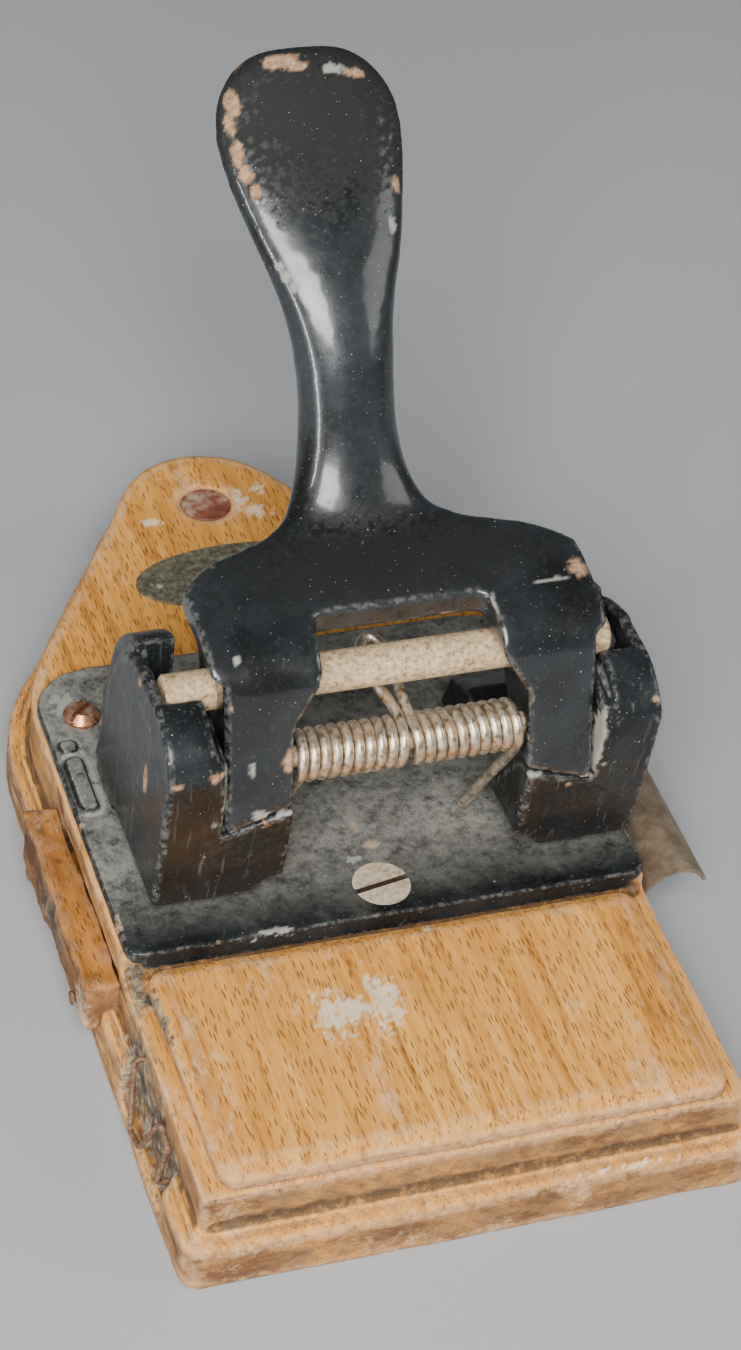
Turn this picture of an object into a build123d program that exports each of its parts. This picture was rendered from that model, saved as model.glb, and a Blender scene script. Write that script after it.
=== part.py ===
"""Two-hole office punch: cast iron lever and towers on a moulded wooden base.

Millimetres, +Z up.  The origin is on the underside of the base, below the
front edge of the iron bed and midway between the two punches.  +Y runs from
the paper side towards the rounded tongue under the lever's handle.
"""

import os
from math import cos, radians, sin, tan

from build123d import *

os.makedirs("parts", exist_ok=True)

# ---------------------------------------------------------------- dimensions
# Base board and the paper rest let into its front
BASE_X = -2.9          # centre line of the base, a little left of the punches
DECK_HALF = 50.5       # half width of the upper tier
DECK_TOP = 25.0
PLINTH_STEP = 3.1      # the plinth stands out this much at the sides
FLANK_STEP = 5.0       # and this much along the tongue
PLINTH_TOP = 11.0
FRONT_Y = -50.6        # front of the upper tier
TONGUE_Y = 118.0       # centre of the tongue's round end
TONGUE_R = 19.0
REST_HALF = 47.0
REST_FRONT = -50.0
REST_Z = 21.0          # underside of the paper rest
REST_REAR = -0.4

# Chip tray and its tunnel across the base
TUNNEL_Y = (3.0, 44.0)
TUNNEL_Z = (11.8, 19.4)
SHEET = 0.8

# Iron bed, screwed to the deck
BED_TOP = 27.5
BED_HALF = 50.0
BED_REAR = 75.0
LIP = 2.0

# Punches and their drive
HOLE_SPACING = 80.0
PUNCH_X = HOLE_SPACING / 2
PUNCH_Y = 24.5
PUNCH_R = 2.75
SLIDE_GAP = 0.05
SLOT = 2.0             # paper throat between bed and towers
THROAT_Y = 36.0        # back of the throat
PIVOT_Y, PIVOT_H = 13.5, 30.2   # lever axle, height above the bed
ROD_Y, ROD_H = 22.0, 41.3       # drive rod, height above the bed
ROD_R = 3.75
AXLE_R = 2.0
GUIDE_TOP = 18.0       # floor of the spring well above the bed
WELL_R = 3.75
BOSS_TOP = 28.0

# Towers
TOWER_OUT = 46.3
TOWER_IN = 37.3
ARM_IN, ARM_OUT = 22.0, 34.6    # lower part of each lever arm
SHOULDER_IN, SHOULDER_OUT = 17.3, 36.9
WINDOW_TOP, WINDOW_REAR = 48.4, 24.4
RECESS_OUT = 44.0
RECESS_FRONT, RECESS_REAR = 17.7, 34.0
HOOD_IN, HOOD_OUT = 37.3, 44.6
LEDGE = 24.0           # the arm tips rest here, height above the bed

# Torsion spring on the lever axle
WIRE_R = 1.0
COIL_R = 3.9
COIL_PITCH = 2.08


# ------------------------------------------------------------------- helpers
def side(x):
    """Plane across the punch at x: local x is +Y, local y is height above the bed."""
    return Plane(origin=(x, 0, BED_TOP), x_dir=(0, 1, 0), z_dir=(1, 0, 0))


def front(y):
    """Plane facing the paper side: local x is +X, local y is height above the bed."""
    return Plane(origin=(0, y, BED_TOP), x_dir=(1, 0, 0), z_dir=(0, -1, 0))


def outline(*points):
    """Face in the open sketch, bounded by straight runs."""
    with BuildLine() as edge:
        Polyline(*points, close=True)
    make_face(edge.edges())


def save(part, name):
    part.label = name
    export_step(part, f"parts/{name}.step")


def base_outline(sides, flank):
    """Plan of the base: square front, ogee shoulders and a round tongue."""
    half = DECK_HALF + sides
    nose = TONGUE_R + flank * 0.9
    turn = radians(28)
    end = (nose * cos(turn), TONGUE_Y + nose * sin(turn))
    push_x, push_y = 0.85 * flank, 0.52 * flank
    with BuildLine() as edge:
        run = Line((0, FRONT_Y - sides), (half, FRONT_Y - sides))
        wall = Line(run @ 1, (half, 64))
        Spline(
            wall @ 1,
            (46.1 + push_x, 80.2 + push_y),
            (35.2 + push_x, 97.3 + push_y),
            (25.0 + push_x, 113.5 + push_y),
            end,
            tangents=((0, 1), (-sin(turn), cos(turn))),
        )
        ThreePointArc(
            end,
            (nose * cos(radians(60)), TONGUE_Y + nose * sin(radians(60))),
            (0, TONGUE_Y + nose),
        )
        mirror(about=Plane.YZ)
    make_face(edge.edges())


# ----------------------------------------------------------------- wood base
FRONT_SCREW_Y = 7.5
FRONT_HEAD_R, SHANK_R, FRONT_SHANK = 5.4, 2.2, 4.6
REAR_SHANK = 12.0
REAR_SCREWS = ((BASE_X - 42.3, 61.7), (BASE_X + 42.3, 61.7))
REAR_HEAD_R, REAR_SHANK_R = 3.5, 1.8
DIE_R, DIE_DEPTH = 5.0, 4.0
CHIP_R = 4.3
PLUG_R, PLUG_TOP, PLUG_BASE = 5.2, 24.4, 20.5
PLUG_Y = 121.4
DESK_HOLE_R = 2.25
BADGE_Y, BADGE_A, BADGE_B, BADGE_T = 98.0, 21.3, 9.0, 0.6
BADGE_SINK = 0.2       # the field lies this far below the border
NAIL_R = 0.6
BADGE_NAIL_X = 16.4
BATTEN_Y = (1.0, 47.0)
BATTEN_Z = (8.5, 19.5)
BATTEN_NAILS, NAIL_Z = (8, 40), 10.0
BATTEN_OUT = 3.5
NAIL_BITE = 6.0        # how deep the nails go into the wood
HOLLOW_Y = (-38.0, -12.0)
WIRE_Y = (-15.5, -33.5)
deck_left = BASE_X - DECK_HALF
plinth_left = deck_left - PLINTH_STEP
punch_spots = [(-PUNCH_X, PUNCH_Y), (PUNCH_X, PUNCH_Y)]
bed_bolts = [(sx * x, 41.8) for sx in (-1, 1) for x in (29.5, 41.5)]
BOLT_R, BOLT_HEAD_R, BOLT_HEAD_H = 1.9, 3.4, 2.0
BOLT_TOP = BED_TOP + 9.0

with BuildPart() as wood_base:
    with BuildSketch(Plane.XY.move(Location((BASE_X, 0, 0)))):
        base_outline(PLINTH_STEP, FLANK_STEP)
    extrude(amount=PLINTH_TOP)
    corners = wood_base.edges().filter_by(Axis.Z).sort_by(Axis.Y)[:2]
    fillet(corners, 4.0)
    chamfer(wood_base.faces().sort_by(Axis.Z)[-1].edges(), 1.2)
    with BuildSketch(Plane.XY.move(Location((BASE_X, 0, PLINTH_TOP)))):
        base_outline(PLINTH_STEP * 0.45, FLANK_STEP * 0.45)
    extrude(amount=1.6)
    with BuildSketch(Plane.XY.move(Location((BASE_X, 0, PLINTH_TOP)))):
        base_outline(0, 0)
    extrude(amount=DECK_TOP - PLINTH_TOP)
    rim = wood_base.faces().sort_by(Axis.Z)[-1].edges()
    fillet(rim, 0.8)
    # rebate for the paper rest and the bed's front lip
    with BuildSketch(Plane.XY.offset(REST_Z)):
        with Locations((BASE_X, LIP / 2 - 40)):
            Rectangle(130, 80 + LIP)
    extrude(amount=10, mode=Mode.SUBTRACT)
    # tunnel for the chip tray
    with BuildSketch(Plane.YZ.offset(-70)):
        with Locations((sum(TUNNEL_Y) / 2, sum(TUNNEL_Z) / 2)):
            Rectangle(TUNNEL_Y[1] - TUNNEL_Y[0], TUNNEL_Z[1] - TUNNEL_Z[0])
    extrude(amount=140, mode=Mode.SUBTRACT)
    # seats of the dies and the shafts that drop chips into the tray
    with Locations(*[(x, y, DECK_TOP) for x, y in punch_spots]):
        Cylinder(DIE_R, 2 * (DIE_DEPTH - (BED_TOP - DECK_TOP)), mode=Mode.SUBTRACT)
        Cylinder(CHIP_R, 2 * (DECK_TOP - TUNNEL_Z[1]), mode=Mode.SUBTRACT)
    # screws of the bed, bolts of the towers
    with Locations((BASE_X, FRONT_SCREW_Y, DECK_TOP)):
        Cylinder(SHANK_R, 2 * FRONT_SHANK, mode=Mode.SUBTRACT)
    with Locations(*[(x, y, DECK_TOP) for x, y in REAR_SCREWS]):
        Cylinder(REAR_SHANK_R, 2 * REAR_SHANK, mode=Mode.SUBTRACT)
    with Locations(*[(x, y, DECK_TOP) for x, y in bed_bolts]):
        Cylinder(BOLT_HEAD_R + 0.3, 2 * BOLT_HEAD_H, mode=Mode.SUBTRACT)
    # desk screw hole in the tongue, plugged at the top
    with Locations((BASE_X, PLUG_Y, DECK_TOP)):
        Cylinder(PLUG_R, 2 * (DECK_TOP - PLUG_BASE), mode=Mode.SUBTRACT)
        Cylinder(DESK_HOLE_R, 2 * DECK_TOP, mode=Mode.SUBTRACT)
    # badge nails
    with Locations(*[(BASE_X + s * BADGE_NAIL_X, BADGE_Y, DECK_TOP) for s in (-1, 1)]):
        Cylinder(NAIL_R, 2 * NAIL_BITE, mode=Mode.SUBTRACT)
    # batten nails
    with Locations(*[Location((plinth_left, y, NAIL_Z), (0, 90, 0)) for y in BATTEN_NAILS]):
        Cylinder(NAIL_R, 2 * NAIL_BITE, mode=Mode.SUBTRACT)
    # worn hollow on the left side, and the two holes of the bent wire
    with BuildSketch(Plane.XY.offset(3.0)):
        with Locations((deck_left - 5, sum(HOLLOW_Y) / 2)):
            RectangleRounded(10, HOLLOW_Y[1] - HOLLOW_Y[0], 2.4)
    extrude(amount=16, mode=Mode.SUBTRACT)
    with Locations(
        Location((deck_left, WIRE_Y[0], 18), (0, 90, 0)),
        Location((deck_left, WIRE_Y[1], 6), (0, 90, 0)),
    ):
        Cylinder(0.6, 2 * 3.5, mode=Mode.SUBTRACT)
save(wood_base.part, "wood_base")

with BuildPart() as paper_rest:
    with BuildSketch(Plane.XY.offset(REST_Z)):
        with Locations((BASE_X, (REST_FRONT + REST_REAR) / 2)):
            RectangleRounded(2 * REST_HALF, REST_REAR - REST_FRONT, 3.5)
    extrude(amount=DECK_TOP - REST_Z)
    nosing = paper_rest.faces().sort_by(Axis.Z)[-1].edges()
    chamfer(nosing.sort_by(Axis.Y)[:3], 1.4, 3.2)
    fillet(paper_rest.faces().sort_by(Axis.Z)[-1].edges(), 0.6)
save(paper_rest.part, "paper_rest")

with BuildPart() as tongue_plug:
    with BuildSketch(Plane.XY.offset(PLUG_BASE)):
        with Locations((BASE_X, PLUG_Y)):
            Circle(PLUG_R)
    extrude(amount=PLUG_TOP - PLUG_BASE)
    chamfer(tongue_plug.faces().sort_by(Axis.Z)[-1].edges(), 0.4)
save(tongue_plug.part, "tongue_plug")

with BuildPart() as tray_batten:
    with BuildSketch(Plane.XZ.offset(-BATTEN_Y[0])):
        outline(
            (plinth_left - BATTEN_OUT, BATTEN_Z[0]),
            (plinth_left, BATTEN_Z[0]),
            (plinth_left, PLINTH_TOP + 1.6),
            (deck_left, PLINTH_TOP + 1.6),
            (deck_left, BATTEN_Z[1]),
            (plinth_left - BATTEN_OUT, BATTEN_Z[1]),
        )
    extrude(amount=BATTEN_Y[0] - BATTEN_Y[1])
    worn = tray_batten.faces().sort_by(Axis.X)[0].edges()
    fillet(worn, 0.9)
    with Locations(*[Location((plinth_left, y, NAIL_Z), (0, 90, 0)) for y in BATTEN_NAILS]):
        Cylinder(NAIL_R, 2 * NAIL_BITE, mode=Mode.SUBTRACT)
save(tray_batten.part, "tray_batten")

with BuildPart() as batten_nails:
    for y in BATTEN_NAILS:
        with BuildSketch(Plane.YZ.offset(plinth_left - BATTEN_OUT - 0.5)):
            with Locations((y, NAIL_Z)):
                Circle(1.3)
        extrude(amount=0.5)
        with BuildSketch(Plane.YZ.offset(plinth_left - BATTEN_OUT)):
            with Locations((y, NAIL_Z)):
                Circle(NAIL_R)
        extrude(amount=BATTEN_OUT + NAIL_BITE - 0.2)
save(batten_nails.part, "batten_nails")

# Bent wire hanging in the hollow on the left side
with BuildPart() as side_wire:
    with BuildLine() as bent:
        FilletPolyline(
            (deck_left + 3.2, WIRE_Y[0], 18),
            (deck_left - 2.0, WIRE_Y[0], 18),
            (deck_left - 3.4, -20.5, 5.4),
            (deck_left - 3.2, -25.5, 6.4),
            (deck_left - 1.5, -30.5, 18.4),
            (deck_left - 1.5, -35.5, 17.6),
            (deck_left - 2.3, WIRE_Y[1], 6),
            (deck_left + 3.2, WIRE_Y[1], 6),
            radius=1.1,
        )
    with BuildSketch(Plane(origin=bent.line @ 0, z_dir=bent.line % 0)):
        Circle(0.55)
    sweep()
save(side_wire.part, "side_wire")

# --------------------------------------------------------------- brass badge
with BuildPart() as badge_plate:
    with BuildSketch(Plane.XY.offset(DECK_TOP)):
        with Locations((BASE_X, BADGE_Y)):
            Ellipse(BADGE_A, BADGE_B)
    extrude(amount=BADGE_T)
    with BuildSketch(Plane.XY.offset(DECK_TOP + BADGE_T - BADGE_SINK)):
        with Locations((BASE_X, BADGE_Y)):
            Ellipse(BADGE_A - 2.4, BADGE_B - 2.0)
    extrude(amount=1, mode=Mode.SUBTRACT)
    with Locations(*[(BASE_X + s * BADGE_NAIL_X, BADGE_Y, DECK_TOP) for s in (-1, 1)]):
        Cylinder(NAIL_R, 4, mode=Mode.SUBTRACT)
save(badge_plate.part, "badge_plate")

with BuildPart() as badge_nails:
    for s in (-1, 1):
        with BuildSketch(Plane.XY.offset(DECK_TOP - NAIL_BITE + 0.5)):
            with Locations((BASE_X + s * BADGE_NAIL_X, BADGE_Y)):
                Circle(NAIL_R)
        extrude(amount=NAIL_BITE - 0.5 + BADGE_T - BADGE_SINK)
        with BuildSketch(Plane.XY.offset(DECK_TOP + BADGE_T - BADGE_SINK)):
            with Locations((BASE_X + s * BADGE_NAIL_X, BADGE_Y)):
                Circle(1.35)
        extrude(amount=0.7, taper=25)
save(badge_nails.part, "badge_nails")

# ------------------------------------------------------------------ iron bed
with BuildPart() as bed_plate:
    with BuildSketch(Plane.XY.offset(DECK_TOP)) as bed_shape:
        with Locations((BASE_X, BED_REAR / 2)):
            Rectangle(2 * BED_HALF, BED_REAR)
        bed_corners = bed_shape.vertices().group_by(Axis.Y)
        fillet(bed_corners[0], 3.0)
        fillet(bed_shape.vertices().group_by(Axis.Y)[-1], 11.0)
    extrude(amount=BED_TOP - DECK_TOP)
    with BuildSketch(Plane.XY.offset(DECK_TOP)):
        with Locations((BASE_X, LIP / 2)):
            Rectangle(2 * BED_HALF - 6, LIP)
    extrude(amount=-1.8)
    # raised pads along the left margin
    with BuildSketch(Plane.XY.offset(BED_TOP)):
        with Locations((-49.9, 43.6)):
            RectangleRounded(3.2, 14.0, 1.0)
        with Locations((-49.9, 53.8)):
            RectangleRounded(3.2, 3.0, 1.0)
    extrude(amount=1.0)
    with Locations(*[(x, y, BED_TOP) for x, y in punch_spots]):
        Cylinder(DIE_R, 10, mode=Mode.SUBTRACT)
    with Locations(*[(x, y, BED_TOP) for x, y in REAR_SCREWS]):
        Cylinder(REAR_SHANK_R, 10, mode=Mode.SUBTRACT)
    with Locations(*[(x, y, BED_TOP) for x, y in bed_bolts]):
        Cylinder(BOLT_R, 10, mode=Mode.SUBTRACT)
    with Locations((BASE_X, FRONT_SCREW_Y, (DECK_TOP + BED_TOP) / 2)):
        Cone(SHANK_R, FRONT_HEAD_R, BED_TOP - DECK_TOP, mode=Mode.SUBTRACT)
save(bed_plate.part, "bed_plate")

with BuildPart() as bed_screw_front:
    with Locations((BASE_X, FRONT_SCREW_Y, (DECK_TOP + BED_TOP) / 2)):
        Cone(SHANK_R, FRONT_HEAD_R, BED_TOP - DECK_TOP)
    with BuildSketch(Plane.XY.offset(DECK_TOP)):
        with Locations((BASE_X, FRONT_SCREW_Y)):
            Circle(SHANK_R)
    extrude(amount=-FRONT_SHANK)
    with BuildSketch(Plane.XY.offset(BED_TOP)):
        with Locations((BASE_X, FRONT_SCREW_Y)):
            Rectangle(12, 1.3, rotation=10)
    extrude(amount=-1.1, mode=Mode.SUBTRACT)
save(bed_screw_front.part, "bed_screw_front")

with BuildPart() as bed_screws_rear:
    for x, y in REAR_SCREWS:
        with BuildSketch(Plane.XY.offset(BED_TOP)):
            with Locations((x, y)):
                Circle(REAR_HEAD_R)
        extrude(amount=0.7)
        with BuildSketch(Plane.XY.offset(BED_TOP + 0.7)):
            with Locations((x, y)):
                Circle(REAR_HEAD_R)
        extrude(amount=1.5, taper=45)
        with BuildSketch(Plane.XY.offset(BED_TOP)):
            with Locations((x, y)):
                Circle(REAR_SHANK_R)
        extrude(amount=-(BED_TOP - DECK_TOP + REAR_SHANK))
        with BuildSketch(Plane.XY.offset(BED_TOP + 2.2)):
            with Locations((x, y)):
                Rectangle(8, 0.9, rotation=35)
        extrude(amount=-1.2, mode=Mode.SUBTRACT)
save(bed_screws_rear.part, "bed_screws_rear")

with BuildPart() as tower_bolts:
    for x, y in bed_bolts:
        with BuildSketch(Plane.XY.offset(DECK_TOP - BOLT_HEAD_H)):
            with Locations((x, y)):
                Circle(BOLT_HEAD_R)
        extrude(amount=BOLT_HEAD_H)
        with BuildSketch(Plane.XY.offset(DECK_TOP)):
            with Locations((x, y)):
                Circle(BOLT_R)
        extrude(amount=BOLT_TOP - DECK_TOP)
        with BuildSketch(Plane.XY.offset(DECK_TOP - BOLT_HEAD_H)):
            with Locations((x, y)):
                Rectangle(7, 0.9)
        extrude(amount=0.9, mode=Mode.SUBTRACT)
save(tower_bolts.part, "tower_bolts")

# -------------------------------------------------------------------- towers
for sign, name, crown_height in ((-1, "left", 43.9), (1, "right", 41.4)):
    with BuildPart() as tower:
        # low inner part: ledge for the arm's tip, falling away to the rear
        with BuildSketch(side(ARM_IN + 0.1)):
            outline((6.1, 26), (9.4, 26), (26.0, SLOT), (8.6, SLOT), (6.8, 12))
        extrude(amount=TOWER_IN - ARM_IN - 0.1)
        with BuildSketch(front(30)):
            outline(
                (ARM_IN, 6.5), (24.5, 6.0), (28.0, SLOT), (40, SLOT), (40, 18.1),
                (ARM_IN, LEDGE),
            )
        extrude(amount=40, mode=Mode.INTERSECT)
        # high outer part
        with BuildSketch(side(TOWER_IN)):
            with BuildLine():
                front_edge = Polyline((THROAT_Y, SLOT), (8.6, SLOT), (6.6, 18), (5.4, 33))
                crown = Spline(
                    front_edge @ 1, (7.9, crown_height - 3.6), (14.0, crown_height - 0.4),
                    (23.0, crown_height), (32.0, crown_height - 1.9),
                    tangents=((-0.05, 1), (1, -0.4)),
                )
                back_edge = Spline(
                    crown @ 1, (38.9, crown_height - 7.9), (45.0, 22.5), (47.3, 5.0),
                    tangents=((1, -0.4), (0.05, -1)),
                )
                Polyline(back_edge @ 1, (47.3, 0), (THROAT_Y, 0), (THROAT_Y, SLOT))
            make_face()
        extrude(amount=TOWER_OUT - TOWER_IN)
        # rounded hood behind the recess
        with BuildSketch(side(HOOD_IN)):
            with BuildLine():
                hood = Spline(
                    (RECESS_REAR, crown_height - 0.7), (38.5, crown_height - 2.5),
                    (46.0, crown_height - 10.9), (50.6, 20.0), (52.0, 8.0),
                    tangents=((1, -0.1), (0.02, -1)),
                )
                Polyline(hood @ 1, (52.0, 0), (THROAT_Y, 0), (RECESS_REAR, 4), hood @ 0)
            make_face()
        extrude(amount=HOOD_OUT - HOOD_IN)
        # front block beside the arm, guide boss and rear foot
        with BuildSketch(side(ARM_OUT + 0.6)):
            outline(
                (8.6, SLOT), (6.6, 18), (5.6, 32), (7.0, 37), (RECESS_FRONT, 39),
                (RECESS_FRONT, SLOT),
            )
            with Locations(((18 + 31) / 2, (SLOT + BOSS_TOP) / 2)):
                Rectangle(13.5, BOSS_TOP - SLOT)
        extrude(amount=TOWER_IN - ARM_OUT)
        with BuildSketch(side(24.0)):
            outline((THROAT_Y, 0), (52.0, 0), (49.5, 8.0), (42.0, 12.0), (THROAT_Y, 12.0))
        extrude(amount=TOWER_OUT - 25.0)
        # recess behind the front wall, where the drive rod swings down
        with BuildSketch(side(TOWER_IN - 3)):
            outline(
                (RECESS_FRONT, BOSS_TOP), (RECESS_FRONT, 60), (RECESS_REAR, 60),
                (RECESS_REAR, BOSS_TOP),
            )
        extrude(amount=RECESS_OUT - TOWER_IN + 3, mode=Mode.SUBTRACT)
        # spring well and guide bore of the punch
        with BuildSketch(Plane.XY.offset(BED_TOP + GUIDE_TOP)):
            with Locations((PUNCH_X, PUNCH_Y)):
                Circle(WELL_R)
        extrude(amount=30, mode=Mode.SUBTRACT)
        with BuildSketch(Plane.XY.offset(BED_TOP)):
            with Locations((PUNCH_X, PUNCH_Y)):
                Circle(PUNCH_R + SLIDE_GAP)
        extrude(amount=30, mode=Mode.SUBTRACT)
        # blind bore of the lever axle, threaded holes of the bolts
        with BuildSketch(side(TOWER_IN - 5)):
            with Locations((PIVOT_Y, PIVOT_H)):
                Circle(AXLE_R)
        extrude(amount=RECESS_OUT - TOWER_IN + 5, mode=Mode.SUBTRACT)
        with BuildSketch(Plane.XY.offset(BED_TOP)):
            with Locations(*[(x, y) for x, y in bed_bolts if x > 0]):
                Circle(BOLT_R)
        extrude(amount=BOLT_TOP - BED_TOP, mode=Mode.SUBTRACT)
    shape = tower.part if sign > 0 else mirror(tower.part, about=Plane.YZ)
    save(shape, f"tower_{name}")

# ------------------------------------------- dies, punches and their springs
HEAD_R, HEAD_H = 3.6, 2.5
HEAD_TOP = ROD_H - ROD_R - 0.06
TIP = SLOT + 0.3
LIFT_WIRE_R, LIFT_COIL_R, LIFT_TURNS = 0.35, 3.25, 7

for sign, name in ((-1, "left"), (1, "right")):
    x = sign * PUNCH_X
    with BuildPart() as die:
        with BuildSketch(Plane.XY.offset(BED_TOP)):
            with Locations((x, PUNCH_Y)):
                Circle(DIE_R)
                Circle(PUNCH_R + 0.04, mode=Mode.SUBTRACT)
        extrude(amount=-DIE_DEPTH)
        with BuildSketch(Plane.XY.offset(BED_TOP - DIE_DEPTH)):
            with Locations((x, PUNCH_Y)):
                Circle(PUNCH_R + 0.6)
        extrude(amount=2.2, mode=Mode.SUBTRACT)
    save(die.part, f"die_{name}")

    with BuildPart() as punch:
        with BuildSketch(Plane.XY.offset(BED_TOP + TIP)):
            with Locations((x, PUNCH_Y)):
                Circle(PUNCH_R)
        extrude(amount=HEAD_TOP - TIP)
        with BuildSketch(Plane.XY.offset(BED_TOP + HEAD_TOP)):
            with Locations((x, PUNCH_Y)):
                Circle(HEAD_R)
        extrude(amount=-HEAD_H)
        # hollow-ground cutting end: two points shear the paper first
        with BuildSketch(Plane.XZ.offset(-PUNCH_Y - 5)):
            with Locations((x, BED_TOP + TIP)):
                Circle(2.4)
                Rectangle(4.8, 1.2, mode=Mode.INTERSECT)
        extrude(amount=10, mode=Mode.SUBTRACT)
    save(punch.part, f"punch_{name}")

    with BuildPart() as lift_spring:
        height = HEAD_TOP - HEAD_H - GUIDE_TOP - 2 * LIFT_WIRE_R - 0.1
        with BuildLine() as coil:
            Helix(
                height / LIFT_TURNS, height, LIFT_COIL_R,
                center=(x, PUNCH_Y, BED_TOP + GUIDE_TOP + LIFT_WIRE_R + 0.05),
            )
        with BuildSketch(Plane(origin=coil.line @ 0, z_dir=coil.line % 0)):
            Circle(LIFT_WIRE_R)
        sweep(is_frenet=True)
    save(lift_spring.part, f"lift_spring_{name}")

# --------------------------------------------------------------------- lever
# Handle sections from the shoulders to the end of the spoon: (distance back,
# height above the bed, lean of the section, half width, half depth, sideways)
HANDLE = (
    (40.0, 51.2, 5, 20.0, 3.0, 0),
    (45.5, 52.6, 20, 16.4, 4.0, 0),
    (51.0, 55.4, 38, 12.9, 5.8, 0),
    (57.4, 64.0, 60, 9.9, 6.4, 0),
    (62.0, 74.0, 65, 9.5, 6.2, 0),
    (68.5, 85.5, 57, 11.0, 5.4, -0.3),
    (78.0, 96.0, 48, 15.2, 4.5, -0.6),
    (87.3, 104.2, 43, 17.9, 4.2, -0.9),
    (94.1, 110.6, 43, 18.0, 3.9, -0.9),
    (99.3, 115.5, 43, 14.6, 3.5, -0.9),
    (102.3, 118.3, 43, 8.2, 2.6, -0.9),
)

with BuildPart() as lever:
    # arms and shoulders in side view
    with BuildSketch(side(-SHOULDER_OUT)):
        with BuildLine():
            FilletPolyline(
                (5.6, 20.0), (13.9, 49.0), (18.5, 52.5), (27.0, 54.2), (50.0, 54.8),
                (52.0, 51.5), (50.0, 47.3), (38.0, 45.2), (30.5, 43.0), (27.5, 36.5),
                (20.5, 30.0), (18.0, 24.5), (12.5, 22.0), (9.0, 20.0),
                radius=[1, 9, 10, 25, 1, 1, 1.2, 3, 2, 3, 2, 1.5, 1.5, 1], close=True,
            )
        make_face()
    extrude(amount=2 * SHOULDER_OUT)
    # front view: arms below the jog, wide shoulders above it, window between
    with BuildSketch(front(60)):
        outline(
            (ARM_IN, LEDGE + 0.35), (ARM_OUT, 20.2), (ARM_OUT + 0.1, 48.4), (SHOULDER_OUT, 49.6),
            (SHOULDER_OUT, 70), (-SHOULDER_OUT, 70), (-SHOULDER_OUT, 49.6),
            (-ARM_OUT - 0.1, 48.4), (-ARM_OUT, 20.2), (-ARM_IN, LEDGE + 0.35),
            (-ARM_IN, 38.8), (-SHOULDER_IN, 46.0), (-SHOULDER_IN, WINDOW_TOP - 1.2),
            (-SHOULDER_IN + 1.5, WINDOW_TOP), (SHOULDER_IN - 1.5, WINDOW_TOP),
            (SHOULDER_IN, WINDOW_TOP - 1.2), (SHOULDER_IN, 46.0), (ARM_IN, 38.8),
        )
    extrude(amount=80, mode=Mode.INTERSECT)
    # the window opens through the top of the shoulders' front
    with BuildSketch(Plane.XY.offset(BED_TOP + WINDOW_TOP - 5)):
        with Locations((0, WINDOW_REAR - 20)):
            RectangleRounded(2 * SHOULDER_IN - 1.2, 40, 3)
    extrude(amount=30, mode=Mode.SUBTRACT)
    # plan: shoulders sweep in to the neck
    with BuildSketch(Plane.XY.offset(BED_TOP)):
        with BuildLine():
            rim_front = Line((0, 0), (SHOULDER_OUT, 0))
            rim_side = Line(rim_front @ 1, (SHOULDER_OUT, 34.0))
            rim_back = Spline(
                rim_side @ 1, (32.1, 39.6), (20.3, 44.8), (12.0, 52.2),
                tangents=((-0.6, 0.8), (-0.5, 0.86)),
            )
            Line(rim_back @ 1, (0, 52.2))
            mirror(about=Plane.YZ)
        make_face()
    extrude(amount=80, mode=Mode.INTERSECT)
    # handle
    for back, height, lean, half, depth, sideways in HANDLE:
        along = (0, cos(radians(lean)), sin(radians(lean)))
        middle = (sideways, back, BED_TOP + height)
        with BuildSketch(Plane(origin=middle, x_dir=(1, 0, 0), z_dir=along)):
            Ellipse(half, depth)
    loft()
    # seats of the drive rod and the axle
    with BuildSketch(side(-50)):
        with Locations((ROD_Y, ROD_H)):
            Circle(ROD_R)
        with Locations((PIVOT_Y, PIVOT_H)):
            Circle(AXLE_R + SLIDE_GAP)
    extrude(amount=100, mode=Mode.SUBTRACT)
save(lever.part, "lever")

ROD_LEFT = 0.7 - RECESS_OUT
ROD_RIGHT = SHOULDER_OUT + 3.1      # the rod sits nearer the left tower
with BuildPart() as drive_rod:
    with BuildSketch(side(ROD_LEFT)):
        with Locations((ROD_Y, ROD_H)):
            Circle(ROD_R)
    extrude(amount=ROD_RIGHT - ROD_LEFT)
    chamfer(drive_rod.edges().filter_by(GeomType.CIRCLE), 0.5)
save(drive_rod.part, "drive_rod")

AXLE_HALF = RECESS_OUT - 0.1
with BuildPart() as pivot_axle:
    with BuildSketch(side(-AXLE_HALF)):
        with Locations((PIVOT_Y, PIVOT_H)):
            Circle(AXLE_R)
    extrude(amount=2 * AXLE_HALF)
    chamfer(pivot_axle.edges().filter_by(GeomType.CIRCLE), 0.3)
save(pivot_axle.part, "pivot_axle")

# ------------------------------------------------------------ torsion spring
# Two coils on the axle, joined by a loop that passes under the drive rod and
# presses up on it.  Each outer leg runs down to the bed.
COIL_START = 1.15      # inner end of each coil
LOOP_TURN = 103.5      # where the loop leaves the coil, degrees up from the rear
LEG_TURN = 205.0       # where the leg leaves it
COIL_LENGTH = COIL_PITCH * (9 + (LEG_TURN - LOOP_TURN) / 360)
AXLE_Z = BED_TOP + PIVOT_H
LEG_FEET = (
    (20.6, 14.2, 47.8),
    (18.9, 20.4, 34.5),
    (18.2, 22.9, 28.8),
)
LOOP_RISE = -1 / tan(radians(LOOP_TURN))


def on_coil(turn):
    """Offset of the wire's centre line from the axle at this angle."""
    return Vector(0, COIL_R * cos(radians(turn)), COIL_R * sin(radians(turn)))


def loop_at(x, back):
    """Point of the centre loop, this far behind the axle."""
    start = on_coil(LOOP_TURN)
    return Vector(x, PIVOT_Y + back, AXLE_Z + start.Z + LOOP_RISE * (back - start.Y))


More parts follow.
